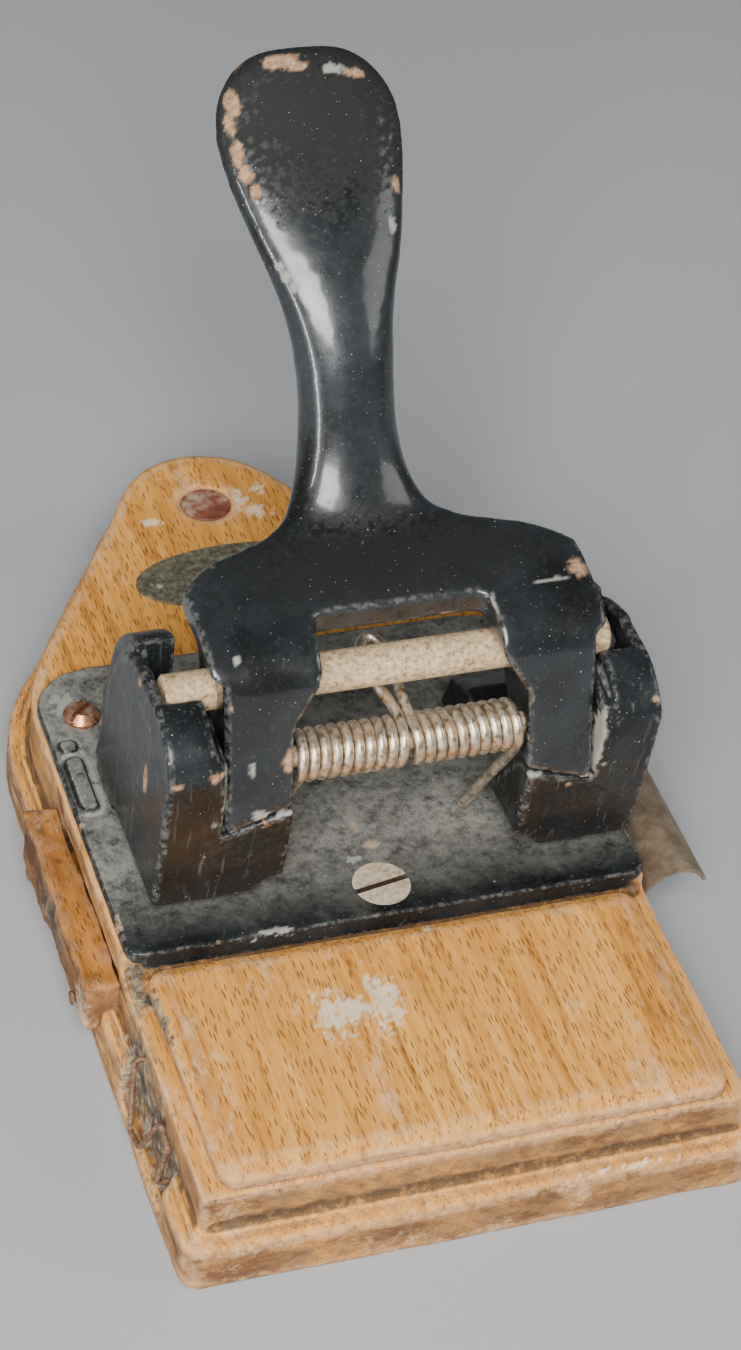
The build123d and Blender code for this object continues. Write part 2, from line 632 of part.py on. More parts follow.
def coil_and_leg(sign):
    """Centre lines of one coil, from its inner end, and of its outer leg."""
    turns = Helix(
        COIL_PITCH, COIL_LENGTH, COIL_R, direction=(sign, 0, 0), lefthand=sign < 0,
        mode=Mode.PRIVATE,
    )
    turn = on_coil(LOOP_TURN).get_signed_angle(turns @ 0, Vector(-1, 0, 0))
    turns = turns.rotate(Axis.X, turn)
    turns = turns.move(Location((sign * COIL_START, PIVOT_Y, AXLE_Z)))
    feet = [(sign * x, y, z) for x, y, z in LEG_FEET]
    leg = Spline(
        turns @ 1, *feet, tangents=(turns % 1, (-0.2 * sign, 0.4, -0.9)), mode=Mode.PRIVATE
    )
    return turns, leg


coil_left, leg_left = coil_and_leg(-1)
coil_right, leg_right = coil_and_leg(1)
centre_loop = Spline(
    coil_left @ 0,
    loop_at(-3.1, 8.5),
    loop_at(-4.3, 15.5),
    loop_at(-1.8, 18.7),
    loop_at(0.7, 15.5),
    loop_at(0.9, 8.5),
    coil_right @ 0,
    tangents=(-(coil_left % 0), coil_right % 0),
)
runs = (leg_left, coil_left, centre_loop, coil_right, leg_right)
spring_wire = Wire([edge for run in runs for edge in run.edges()])
with BuildPart() as torsion_spring:
    with BuildSketch(Plane(origin=spring_wire @ 0, z_dir=spring_wire % 0)):
        Circle(WIRE_R)
    sweep(path=spring_wire)
save(torsion_spring.part, "torsion_spring")

# ----------------------------------------------------------------- chip tray
TRAY_LEFT, TRAY_RIGHT = -50.0, 44.0
WALL = 5.4
tray_y = (TUNNEL_Y[0] + 0.7, TUNNEL_Y[1] - 0.7)
tray_floor = TUNNEL_Z[0] + 0.9

with BuildPart() as chip_tray:
    # floor, end wall and the curled finger lip, in one bent strip
    with BuildSketch(Plane.XZ.offset(-tray_y[0])):
        with BuildLine():
            pan = Polyline(
                (TRAY_LEFT, tray_floor + WALL), (TRAY_LEFT, tray_floor), (TRAY_RIGHT, tray_floor)
            )
            Spline(
                pan @ 1, (49.3, 16.5), (52.2, 19.9), (56.3, 21.3), (61.8, 17.8),
                tangents=((1, 0.15), (0.35, -1)),
            )
        trace(line_width=SHEET)
    extrude(amount=tray_y[0] - tray_y[1])
    # side walls
    for y in (tray_y[0], tray_y[1] - SHEET):
        with BuildSketch(Plane.XZ.offset(-y)):
            outline(
                (TRAY_LEFT, tray_floor), (TRAY_RIGHT, tray_floor),
                (TRAY_RIGHT - 3, tray_floor + WALL), (TRAY_LEFT, tray_floor + WALL),
            )
        extrude(amount=-SHEET)
save(chip_tray.part, "chip_tray")
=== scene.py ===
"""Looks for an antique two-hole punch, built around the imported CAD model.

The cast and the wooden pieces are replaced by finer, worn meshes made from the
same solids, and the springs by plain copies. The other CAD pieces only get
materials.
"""

import bpy
import numpy as np
from mathutils import Matrix, Vector, noise


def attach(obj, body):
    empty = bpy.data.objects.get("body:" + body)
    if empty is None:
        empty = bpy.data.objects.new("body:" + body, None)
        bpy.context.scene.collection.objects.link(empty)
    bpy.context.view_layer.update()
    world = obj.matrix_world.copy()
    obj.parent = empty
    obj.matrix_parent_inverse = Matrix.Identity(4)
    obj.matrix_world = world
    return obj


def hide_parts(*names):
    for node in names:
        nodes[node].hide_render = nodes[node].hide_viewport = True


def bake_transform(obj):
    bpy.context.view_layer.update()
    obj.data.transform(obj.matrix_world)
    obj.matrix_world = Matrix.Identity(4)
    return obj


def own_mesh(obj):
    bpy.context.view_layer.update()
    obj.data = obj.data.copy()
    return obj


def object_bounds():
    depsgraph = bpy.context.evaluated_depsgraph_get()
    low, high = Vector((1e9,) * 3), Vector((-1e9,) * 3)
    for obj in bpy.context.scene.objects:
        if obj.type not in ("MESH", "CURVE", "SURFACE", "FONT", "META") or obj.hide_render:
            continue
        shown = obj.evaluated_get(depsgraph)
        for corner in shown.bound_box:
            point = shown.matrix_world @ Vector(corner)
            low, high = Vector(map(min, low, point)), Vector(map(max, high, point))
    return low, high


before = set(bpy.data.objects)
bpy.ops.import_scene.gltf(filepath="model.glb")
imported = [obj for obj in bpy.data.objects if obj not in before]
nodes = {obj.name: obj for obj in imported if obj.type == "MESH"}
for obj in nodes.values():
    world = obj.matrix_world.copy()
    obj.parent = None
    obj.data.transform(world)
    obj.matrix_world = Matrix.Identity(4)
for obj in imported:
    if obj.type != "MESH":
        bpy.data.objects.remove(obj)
cad_bounds = [list(corner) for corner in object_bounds()]
MM = 0.001

# sockets that are told apart only by number
MIX_FACTOR, MIX_NUMBERS, MIX_COLORS, MIX_COLOR_OUT = 0, (2, 3), (6, 7), 2
ATTRIBUTE_NUMBER = 2

# lacquer
LACQUER, LACQUER_FADED = (0.006, 0.0065, 0.007), (0.022, 0.026, 0.028)
LACQUER_HAZE = (0.075, 0.08, 0.08)
LACQUER_BROWNED = (0.028, 0.020, 0.014)
LACQUER_HANDLED = (0.009, 0.008, 0.006)
# a light edge colour, partly rubbed wear and partly a painted highlight
LACQUER_RUBBED_AND_HIGHLIGHT = (0.22, 0.21, 0.19)
LACQUER_SCRATCHED = (0.13, 0.135, 0.135)
BARE_IRON = (
    (0.3, (0.17, 0.085, 0.045)), (0.6, (0.44, 0.27, 0.155)), (0.8, (0.62, 0.47, 0.33)),
)
PALE_SPECK = (0.50, 0.50, 0.47)
DUST = (0.33, 0.325, 0.28)

# wood
OAK = (
    (0.34, (0.33, 0.130, 0.026)), (0.45, (0.62, 0.270, 0.048)),
    (0.55, (0.76, 0.350, 0.072)), (0.68, (0.86, 0.46, 0.125)),
)
OAK_BAND = (0.56, 0.225, 0.038)
OAK_PORE = (0.135, 0.050, 0.014)
OAK_END, OAK_END_PORE = (0.30, 0.14, 0.055), (0.13, 0.055, 0.022)
OAK_SKIN = (0.27, 0.145, 0.065)
OAK_STAIN = (0.12, 0.050, 0.024)
OAK_STREAK = (0.075, 0.036, 0.020)
OAK_RUBBED, OAK_BALD = (0.66, 0.39, 0.20), (0.82, 0.54, 0.30)
OAK_GROOVE = (0.060, 0.036, 0.020)
OAK_SCUFF = (0.80, 0.68, 0.49)
OAK_MUCK = (
    (0.40, (0.045, 0.040, 0.036)), (0.52, (0.20, 0.165, 0.125)), (0.62, (0.46, 0.36, 0.19)),
)
BATTEN_TINT = (0.62, 0.56, 0.55)

# steel
# painted shade for the bottom of a screw's slot
SLOT_PAINTED_SHADE = (0.05, 0.03, 0.018)
SPRING_WIRE = (
    (0.33, (0.24, 0.160, 0.085)), (0.46, (0.56, 0.46, 0.33)), (0.60, (0.74, 0.67, 0.55)),
)
SPRING_RUST = (0.30, 0.155, 0.06)

# stage
FLOOR_DARK, FLOOR_LIGHT = (0.36, 0.37, 0.38), (0.42, 0.43, 0.44)
FLOOR_WIDTH = 6
WORLD_COLOR, WORLD_STRENGTH = (0.80, 0.85, 0.90, 1), 0.16
FOCAL_LENGTH = 90.18
CAMERA_PLACE = (-0.1843, -0.3864, 0.4687)
CAMERA_RIGHT = (0.94418558, -0.31228888, 0.10482958)
CAMERA_DOWN = (-0.13781921, -0.6635297, -0.73534631)
CAMERA_FORWARD = (0.29919801, 0.67985586, -0.66953459)
PUNCH_MIDDLE, NECK_MIDDLE = (0, 0.04, 0.06), (0, 0.06, 0.10)


# ------------------------------------------------------------------ materials
class Paint:
    """A Principled material, with short calls for the nodes that feed it.

    The calls take numbers, colours, or what the other calls return.
    """

    def __init__(self, name, **sockets):
        self.material = bpy.data.materials.new(name)
        self.material.use_nodes = True
        self.tree = self.material.node_tree
        self.shader = self.tree.nodes["Principled BSDF"]
        for socket, value in sockets.items():
            self.set(socket.replace("_", " "), value)
        where = self.tree.nodes.new("ShaderNodeTexCoord").outputs["Object"]
        self.place = self.node("ShaderNodeMapping", {"Vector": where, "Scale": (1 / MM,) * 3})

    def put(self, socket, value):
        if isinstance(value, bpy.types.NodeSocket):
            self.tree.links.new(value, socket)
        elif socket.type == "RGBA":
            socket.default_value = (*value, 1)
        else:
            socket.default_value = value

    def set(self, socket, value):
        self.put(self.shader.inputs[socket], value)

    def node(self, kind, inputs=(), output=0, **props):
        made = self.tree.nodes.new(kind)
        for key, value in props.items():
            setattr(made, key, value)
        for key, value in dict(inputs).items():
            self.put(made.inputs[key], value)
        return made.outputs[output]

    def stretch(self, x, y, z, turn=(0, 0, 0), shift=(0, 0, 0)):
        """Millimetre coordinates, stretched by these factors."""
        inputs = {"Vector": self.place, "Scale": (x, y, z), "Rotation": turn, "Location": shift}
        return self.node("ShaderNodeMapping", inputs)

    def moved(self, x, y, z):
        """Millimetre coordinates, shifted so that two noises don't agree."""
        return self.stretch(1, 1, 1, shift=(x, y, z))

    def noise(self, scale, detail, roughness=0.55, at=None, distortion=0.0):
        inputs = {
            "Vector": at or self.place, "Scale": scale, "Detail": detail,
            "Roughness": roughness, "Distortion": distortion,
        }
        return self.node("ShaderNodeTexNoise", inputs)

    def cells(self, scale, at):
        return self.node("ShaderNodeTexVoronoi", {"Vector": at, "Scale": scale})

    def ramp(self, value, low, high, start=0.0, end=1.0):
        inputs = {"Value": value, "From Min": low, "From Max": high, "To Min": start, "To Max": end}
        return self.node("ShaderNodeMapRange", inputs, clamp=True)

    def math(self, operation, first, *others):
        """Folds the numbers with one operation, each result clamped to 0 to 1."""
        for other in others:
            first = self.node(
                "ShaderNodeMath", {0: first, 1: other}, operation=operation, use_clamp=True
            )
        return first

    def times(self, *values):
        return self.math("MULTIPLY", *values)

    def plus(self, *values):
        return self.math("ADD", *values)

    def minus(self, *values):
        return self.math("SUBTRACT", *values)

    def highest(self, *values):
        return self.math("MAXIMUM", *values)

    def colors(self, value, *stops):
        made = self.tree.nodes.new("ShaderNodeValToRGB")
        ramp = made.color_ramp
        while len(ramp.elements) < len(stops):
            ramp.elements.new(0.5)
        for element, (position, color) in zip(ramp.elements, stops):
            element.position = position
            element.color = (*color, 1)
        self.put(made.inputs[0], value)
        return made.outputs[0]

    def mix(self, factor, a, b, how="MIX"):
        """Colour going from a to b."""
        inputs = {MIX_FACTOR: factor, MIX_COLORS[0]: a, MIX_COLORS[1]: b}
        return self.node("ShaderNodeMix", inputs, MIX_COLOR_OUT, data_type="RGBA", blend_type=how)

    def cover(self, color, layer, *masks):
        """Lays a second colour over the first where all the masks are high."""
        return self.mix(self.times(*masks), color, layer)

    def blend(self, factor, a, b):
        """Number going from a to b."""
        inputs = {MIX_FACTOR: factor, MIX_NUMBERS[0]: a, MIX_NUMBERS[1]: b}
        return self.node("ShaderNodeMix", inputs, data_type="FLOAT")

    def mask(self, name):
        """A number from 0 to 1 that the mesh carries at each of its points."""
        return self.node("ShaderNodeAttribute", output=ATTRIBUTE_NUMBER, attribute_name=name)

    def axis(self, which):
        return self.node("ShaderNodeSeparateXYZ", {0: self.place}, output="XYZ".index(which))

    def facing(self, which):
        """How far the surface faces along an axis, from -1 to 1."""
        normal = self.tree.nodes.new("ShaderNodeNewGeometry").outputs["Normal"]
        return self.node("ShaderNodeSeparateXYZ", {0: normal}, output="XYZ".index(which))

    def bump(self, height, distance, strength):
        inputs = {"Height": height, "Distance": distance * MM, "Strength": strength}
        self.set("Normal", self.node("ShaderNodeBump", inputs))


def speckles(paint, size, amount, seed=0.0):
    """Scattered spots about this many millimetres across, as a mask."""
    shifted = paint.moved(seed, seed * 2, seed * 3)
    spots = paint.ramp(paint.cells(0.45 / size, shifted), 0.10, 0.22, 1.0, 0.0)
    where = paint.noise(0.5 / size, 2, at=paint.moved(seed * 5, 3, 7))
    return paint.times(spots, paint.ramp(where, 0.66 - amount, 0.70 - amount))


def settled_dust(paint, dust):
    """Dust on the upward faces, thicker away from the bed's front edge, as a mask."""
    up = paint.times(paint.ramp(paint.facing("Z"), 0.75, 0.97), dust)
    patch = paint.ramp(paint.noise(0.22, 8, 0.9), 0.38, 0.58, 0.1, 1.0)
    sheltered = paint.times(paint.ramp(paint.axis("Y"), 2, 20), patch)
    smear = paint.ramp(paint.noise(0.06, 6, 0.75), 0.48, 0.70, 0.0, 0.25)
    return paint.times(up, paint.plus(sheltered, smear))


def japan_black(name, dust=0.0, brown=0.0, scratched=0.0, coat=0.05, gloss=0.28):
    """Old stoved black lacquer on cast iron, chipped at the edges."""
    paint = Paint(name, Specular_IOR_Level=gloss, Coat_Roughness=0.12)
    edge, hollow, dull = (paint.mask(key) for key in ("edge", "hollow", "dull"))
    fine = paint.noise(0.9, 5, 0.7)
    ragged = paint.noise(0.7, 4, 0.6)

    cloud = paint.ramp(paint.noise(0.055, 5, 0.6), 0.35, 0.68)
    color = paint.mix(cloud, LACQUER, LACQUER_FADED)
    color = paint.mix(paint.ramp(fine, 0.54, 0.78, 0, 0.35), color, LACQUER_HAZE)
    if brown:
        # the front faces have turned brown below the ledges
        low = paint.ramp(paint.axis("Z"), 56, 50)
        warm = paint.ramp(paint.noise(0.09, 4, at=paint.moved(31, 7, 5)), 0.34, 0.5)
        front = paint.ramp(paint.facing("Y"), -0.5, -0.8)
        color = paint.cover(color, LACQUER_BROWNED, low, warm, front, brown)
    color = paint.cover(color, LACQUER_HANDLED, dull, 0.8)

    # a light line along the sharp edges: partly rubbed lacquer, partly a painted highlight
    rubbed_and_highlight = paint.times(paint.ramp(edge, 0.6, 1.0), paint.ramp(ragged, 0.46, 0.64))
    color = paint.cover(color, LACQUER_RUBBED_AND_HIGHLIGHT, rubbed_and_highlight, 0.4)

    # bare tan metal where the lacquer has gone
    chance = paint.noise(0.11, 3, 0.5, at=paint.moved(11, 4, 9))
    bare = paint.times(
        paint.ramp(edge, 0.45, 0.7), paint.ramp(chance, 0.665, 0.70), paint.ramp(ragged, 0.4, 0.5)
    )
    bare = paint.plus(bare, paint.mask("chip"))
    color = paint.mix(bare, color, paint.colors(fine, *BARE_IRON))
    specks = paint.plus(speckles(paint, 0.28, 0.04), speckles(paint, 0.6, 0.0, 9.0))
    color = paint.cover(color, PALE_SPECK, specks, 0.8)

    # dust and polish left in the corners
    grime = paint.times(
        paint.ramp(hollow, 0.35, 0.85), paint.ramp(ragged, 0.34, 0.56), 0.45 + dust
    )
    if dust:
        grime = paint.plus(grime, settled_dust(paint, dust))
    grime = paint.plus(grime, paint.mask("wax"))
    color = paint.cover(color, DUST, grime, 0.85)
    if scratched:
        lines = paint.noise(1.0, 2, 0.5, at=paint.stretch(1, 0.9, 0.06, turn=(0.25, 0, 0)))
        color = paint.cover(color, LACQUER_SCRATCHED, paint.ramp(lines, 0.62, 0.74), scratched)

    matt = paint.plus(paint.highest(bare, specks, grime), dull)
    rough = paint.ramp(paint.noise(0.25, 5, 0.65), 0.3, 0.75, 0.22, 0.42)
    paint.set("Base Color", color)
    paint.set("Roughness", paint.blend(matt, rough, 0.80))
    paint.set("Coat Weight", paint.blend(matt, coat, 0.0))
    paint.bump(paint.minus(paint.noise(1.6, 4, 0.6), paint.times(bare, 0.6)), 0.08, 0.3)
    return paint.material


def old_oak(name, tint=None, dirt=0.0):
    """Oiled oak, grain along Y, with dark pores, rubbed edges and dirty grooves."""
    paint = Paint(name, Specular_IOR_Level=0.3)
    edge, hollow = paint.mask("edge"), paint.mask("hollow")
    ragged = paint.noise(0.5, 6, 0.7, at=paint.stretch(1, 0.4, 1))
    facing = paint.node(
        "ShaderNodeMath", {0: paint.facing("Y")}, operation="ABSOLUTE", use_clamp=True
    )
    lengthwise, across = paint.ramp(facing, 0.8, 0.5), paint.ramp(facing, 0.5, 0.8)
    side = paint.ramp(paint.facing("Z"), 0.6, 0.25)

    grain = paint.noise(0.55, 7, 0.68, at=paint.stretch(1, 0.045, 1), distortion=0.4)
    broad = paint.noise(0.045, 4, 0.55, at=paint.stretch(1, 0.3, 1, shift=(4, 0, 0)))
    color = paint.colors(grain, *OAK)
    color = paint.mix(paint.ramp(broad, 0.38, 0.66, 0, 0.45), color, OAK_BAND)

    # pores: short dark dashes along the grain, in drifts
    pores = paint.cells(1.0, paint.stretch(1.9, 0.26, 1.9, turn=(0, 0, 0.03)))
    drift = paint.noise(0.30, 3, 0.6, at=paint.stretch(1, 0.12, 1, shift=(9, 0, 2)))
    dashes = paint.times(
        paint.ramp(pores, 0.16, 0.36, 1, 0), paint.ramp(drift, 0.30, 0.46), lengthwise
    )
    color = paint.cover(color, OAK_PORE, dashes, 0.8)

    # end grain: rows of dots that follow tilted rings
    dots = paint.cells(1.0, paint.stretch(1.7, 1.7, 1.7, turn=(0, 0.35, 0)))
    rings = paint.node(
        "ShaderNodeTexWave",
        {"Vector": paint.stretch(0.5, 0.0, 1.0, turn=(0, 0.5, 0)), "Scale": 0.16,
         "Distortion": 4.0, "Detail": 3.0, "Detail Scale": 0.6},
    )
    end = paint.times(across, paint.ramp(rings, 0.25, 0.75, 0.25, 1))
    speck = paint.times(end, paint.ramp(dots, 0.18, 0.42, 1, 0))
    color = paint.cover(color, OAK_END, end, 0.30)
    color = paint.cover(color, OAK_END_PORE, speck, 0.6)

    # a dull brown skin, stains and dark streaks on the sides
    grey = paint.noise(0.12, 6, 0.7, at=paint.stretch(1, 0.35, 1.4, shift=(3, 8, 1)))
    skin = paint.times(side, paint.ramp(grey, 0.36, 0.60, 0.35, 0.95))
    color = paint.mix(skin, color, OAK_SKIN)
    stain = paint.noise(0.075, 6, 0.75, at=paint.stretch(0.8, 0.5, 2.0, shift=(17, 2, 9)))
    stain = paint.times(paint.ramp(stain, 0.48, 0.60), paint.plus(side, dirt))
    color = paint.cover(color, OAK_STAIN, stain, 0.8)
    streak = paint.noise(0.9, 5, 0.7, at=paint.stretch(1, 0.035, 1, shift=(6, 1, 4)))
    streak = paint.times(paint.ramp(streak, 0.50, 0.62), lengthwise, side)
    color = paint.cover(color, OAK_STREAK, streak, 0.75)

    # rubbed edges and bald patches, dirt in the grooves, scuffs and muck
    rub = paint.times(paint.ramp(edge, 0.16, 0.65), paint.ramp(ragged, 0.36, 0.58))
    color = paint.cover(color, OAK_RUBBED, rub, 0.62)
    bald = paint.noise(0.10, 6, 0.75, at=paint.stretch(1, 0.45, 1, shift=(2, 6, 13)))
    bald = paint.times(paint.ramp(bald, 0.565, 0.62), paint.ramp(ragged, 0.42, 0.60))
    color = paint.cover(color, OAK_BALD, bald, 0.5)
    groove = paint.times(paint.ramp(hollow, 0.16, 0.6), paint.ramp(ragged, 0.25, 0.5))
    color = paint.cover(color, OAK_GROOVE, groove, 0.85)
    scuff = paint.times(paint.mask("scuff"), paint.ramp(ragged, 0.30, 0.52, 0.2, 1))
    color = paint.cover(color, OAK_SCUFF, scuff, 0.85)
    soil = paint.times(paint.mask("soil"), paint.ramp(ragged, 0.34, 0.5, 0.35, 1))
    muck = paint.colors(paint.noise(0.35, 5, 0.7, at=paint.moved(1, 1, 6)), *OAK_MUCK)
    color = paint.mix(soil, color, muck)
    if tint:
        color = paint.mix(1.0, color, tint, how="MULTIPLY")

    paint.set("Base Color", color)
    rough = paint.ramp(grain, 0.3, 0.8, 0.46, 0.68)
    paint.set("Roughness", paint.blend(paint.highest(rub, skin), rough, 0.85))
    height = paint.minus(grain, paint.times(dashes, 0.9), paint.times(speck, 0.6))
    height = paint.plus(height, paint.times(paint.noise(1.4, 4, 0.7), 0.25))
    paint.bump(height, 0.26, 0.7)
    return paint.material


def tarnished(name, dark, mid, light, metallic, rough, grain=1.0, slot=None):
    """Bare or once plated metal, mottled between three colours.

    Below the height slot the metal is painted dark, as painted shade in a screw's slot.
    """
    paint = Paint(name, Metallic=metallic)
    mottle = paint.noise(grain, 7, 0.72)
    color = paint.colors(mottle, (0.32, dark), (0.5, mid), (0.66, light))
    if slot:
        # painted shade: the metal below the height slot is painted dark
        color = paint.mix(paint.ramp(paint.axis("Z"), slot, slot - 0.2), color, SLOT_PAINTED_SHADE)
    paint.set("Base Color", color)
    paint.set("Roughness", paint.ramp(mottle, 0.3, 0.7, *rough))
    paint.bump(paint.noise(grain * 2.2, 5, 0.7), 0.09, 0.4)
    return paint.material


def spring_steel(name):
    """Round wire, bright in places and rusty in others."""
    paint = Paint(name)
    mottle = paint.noise(0.8, 6, 0.7)
    rust = paint.noise(0.16, 5, 0.7, at=paint.moved(5, 5, 5))
    color = paint.colors(mottle, *SPRING_WIRE)
    color = paint.mix(paint.ramp(rust, 0.52, 0.66, 0, 0.8), color, SPRING_RUST)
    paint.set("Base Color", color)
    paint.set("Roughness", paint.ramp(mottle, 0.35, 0.7, 0.26, 0.52))
    paint.set("Metallic", paint.ramp(rust, 0.5, 0.68, 0.9, 0.4))
    paint.bump(mottle, 0.05, 0.5)
    return paint.material


def floor_finish():
    paint = Paint("pale_floor", Roughness=0.75, Specular_IOR_Level=0.25)
    paint.set("Base Color", paint.mix(paint.noise(0.004, 3, 0.5), FLOOR_DARK, FLOOR_LIGHT))
    paint.bump(paint.noise(0.4, 3, 0.5), 0.05, 0.15)
    return paint.material


# ------------------------------------------------------------------- geometry
def linked(name, data):
    made = bpy.data.objects.new(name, data)
    bpy.context.scene.collection.objects.link(made)
    return made


def dress(obj, material):
    obj.data.materials.clear()
    obj.data.materials.append(material)


def finished(obj, material):
    dress(obj, material)
    obj.data.shade_smooth()


def apply_modifiers(obj):
    bpy.context.view_layer.update()
    graph = bpy.context.evaluated_depsgraph_get()
    mesh = bpy.data.meshes.new_from_object(obj.evaluated_get(graph))
    obj.modifiers.clear()
    old, obj.data = obj.data, mesh
    bpy.data.meshes.remove(old)


def vectors_of(mesh, key):
    """One row for each point of the mesh: its place, co, or its normal."""
    flat = np.empty(len(mesh.vertices) * 3)
    mesh.vertices.foreach_get(key, flat)
    return flat.reshape(-1, 3)


def set_points(mesh, points):
    mesh.vertices.foreach_set("co", points.ravel())
    mesh.update()


def edge_ends(mesh):
    """The two points of each edge, and how many edges meet at each point."""
    ends = np.empty(len(mesh.edges) * 2, dtype=np.int64)
    mesh.edges.foreach_get("vertices", ends)
    ends = ends.reshape(-1, 2)
    degree = np.maximum(np.bincount(ends.ravel(), minlength=len(mesh.vertices)), 1)
    return ends, degree


def neighbour_mean(points, ends, degree):
    total = np.empty_like(points)
    for axis in range(3):
        values = points[:, axis]
        total[:, axis] = (
            np.bincount(ends[:, 0], values[ends[:, 1]], len(points))
            + np.bincount(ends[:, 1], values[ends[:, 0]], len(points))
        )
    return total / degree[:, None]


def soften(obj, rounds, share=None):
    """Rounds a fine mesh off, more where share is near 1."""
    points = vectors_of(obj.data, "co")
    ends, degree = edge_ends(obj.data)
    amount = 0.5 if share is None else 0.5 * share(points)[:, None]
    for _ in range(rounds):
        points += amount * (neighbour_mean(points, ends, degree) - points)
    set_points(obj.data, points)


def roughen(obj, size, depth, seed):
    """Moves the surface in and out, as hand tools, sand moulds and wear leave it.

    The surface stays inside the CAD model's box.
    """
    falloff, lacunarity, octaves = 0.9, 2.1, 3
    points = vectors_of(obj.data, "co")
    normals = vectors_of(obj.data, "normal")
    shift = Vector((seed, seed * 0.7, seed * 1.3))
    scaled = points / (size * MM)
    lift = np.array(
        [noise.fractal(Vector(p) + shift, falloff, lacunarity, octaves) for p in scaled]
    )
    moved = points + normals * (lift * depth * MM)[:, None]
    set_points(obj.data, np.clip(moved, *cad_bounds))


def store(obj, name, values):
    layer = obj.data.attributes.new(name, "FLOAT", "POINT")
    layer.data.foreach_set("value", np.clip(values, 0, 1).astype(np.float32))


def mark_relief(obj, reach, scale):
    """Stores how far each point stands out of, or lies in, its surroundings.

    The mark is full at scale millimetres; reach is in edges of the mesh.
    """
    points = vectors_of(obj.data, "co")
    ends, degree = edge_ends(obj.data)
    blurred = points.copy()
    for _ in range(reach):
        blurred = neighbour_mean(blurred, ends, degree)
    normals = vectors_of(obj.data, "normal")
    height = ((points - blurred) * normals).sum(axis=1) / (scale * MM)
    store(obj, "edge", height)
    store(obj, "hollow", -height)


def patches(obj, name, *spots, rag=0.35):
    """Marks ragged patches: centre and half lengths along X, Y and Z."""
    falloff, lacunarity, octaves = 0.8, 2.1, 3
    frequency = 0.9
    rim, blur = 1.15, 0.3
    points = vectors_of(obj.data, "co") / MM
    total = np.zeros(len(points))
    for centre, reach in spots:
        away = (points - np.array(centre)) / np.array(reach)
        distance = np.sqrt((away ** 2).sum(axis=1))
        near = distance < 2
        distance[near] += [
            rag * noise.fractal(Vector(p) * frequency, falloff, lacunarity, octaves)
            for p in points[near]
        ]
        total = np.maximum(total, np.clip((rim - distance) / blur, 0, 1))
    store(obj, name, total)


def remeshed(node, voxel, body):
    """A fine, even mesh of a CAD node, which it replaces."""
    made = linked(f"{node}_aged", nodes[node].data.copy())
    remesh = made.modifiers.new("fine", "REMESH")
    remesh.mode = "VOXEL"
    remesh.voxel_size = voxel * MM
    apply_modifiers(made)
    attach(made, body)
    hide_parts(node)
    return made


def weather(obj, rounds, waves, depth, seed, reach, relief):
    """Softens the corners, unevens the faces and marks the edges and hollows."""
    soften(obj, rounds)
    roughen(obj, waves, depth, seed)
    mark_relief(obj, reach, relief)


def smooth_step(values, low, high):
    share = np.clip((values - low) / (high - low), 0, 1)
    return share * share * (3 - 2 * share)


# ---------------------------------------------------------------- cast pieces
def neck_share(points):
    """Most rounding where the lever's shoulders sweep up into the neck."""
    least = 0.04
    y, z = points[:, 1] / MM, points[:, 2] / MM
    return least + (1 - least) * smooth_step(z, 78, 86) * smooth_step(y, 33, 42)


def make_lever():
    lever = remeshed("lever", 0.6, "lever")
    soften(lever, 70, neck_share)
    weather(lever, rounds=3, waves=9, depth=0.08, seed=2.0, reach=7, relief=0.24)
    patches(
        lever, "chip",
        ((-5.5, 98, 146), (3.6, 1.6, 1.2)), ((-2.2, 96.8, 145.4), (1.8, 0.9, 0.9)),
        ((8.3, 95.6, 143.7), (2.3, 0.9, 0.9)), ((-15.0, 93.8, 141), (1.3, 2.4, 2.4)),
        ((-16, 91, 138.5), (0.9, 2.2, 2.2)), ((-15.4, 86.7, 134.9), (1.1, 2.4, 2.4)),
        ((-14.6, 83.9, 132.5), (1.2, 1.6, 1.6)), ((-13.3, 81.4, 130.3), (0.9, 1.2, 1.2)),
        ((12.8, 80.8, 129.3), (0.8, 1.5, 1.5)), ((-23.2, 9.4, 60.7), (0.9, 1.5, 2.4)),
        ((34.6, 26.5, 81.2), (1.8, 2.2, 1.2)),
    )
    patches(
        lever, "wax",
        ((4.6, 96.2, 144.7), (2.2, 0.9, 0.9)), ((10.8, 75.2, 125.1), (0.9, 1.6, 1.6)),
        ((-10.2, 69.9, 119.7), (1.1, 1.0, 1.0)), ((-11.3, 71.6, 120.9), (0.9, 0.8, 0.8)),
        ((-9.2, 68.2, 118.5), (0.8, 0.9, 0.9)), ((-28.3, 6.8, 51.2), (1.3, 1.2, 1.2)),
        ((-29.9, 9.3, 60.3), (0.4, 1.4, 1.8)), ((-31.8, 17.5, 79.0), (0.5, 0.8, 1.0)),
        ((34.1, 6.1, 47.9), (1.1, 2.0, 1.4)), ((29, 24.5, 81), (3.5, 0.35, 0.5)),
        ((34.9, 6.0, 55), (0.7, 4.0, 7)), ((28, 5.6, 48.2), (7, 1.2, 0.8)),
        ((0, 24.2, 81.6), (17, 0.35, 0.35)), ((16.9, 21, 80.5), (0.3, 3.4, 1.2)),
        ((-28, 5.6, 48.2), (7, 1.2, 0.7)), ((-34.9, 7.5, 58), (0.5, 4.0, 9)), rag=0.5,
    )
    patches(lever, "dull", ((-1, 91, 138), (19, 14, 14)), ((0, 34, 83), (26, 9, 6)), rag=0.8)
    finished(lever, japan_black("lever_japan", coat=0.6, gloss=0.4))


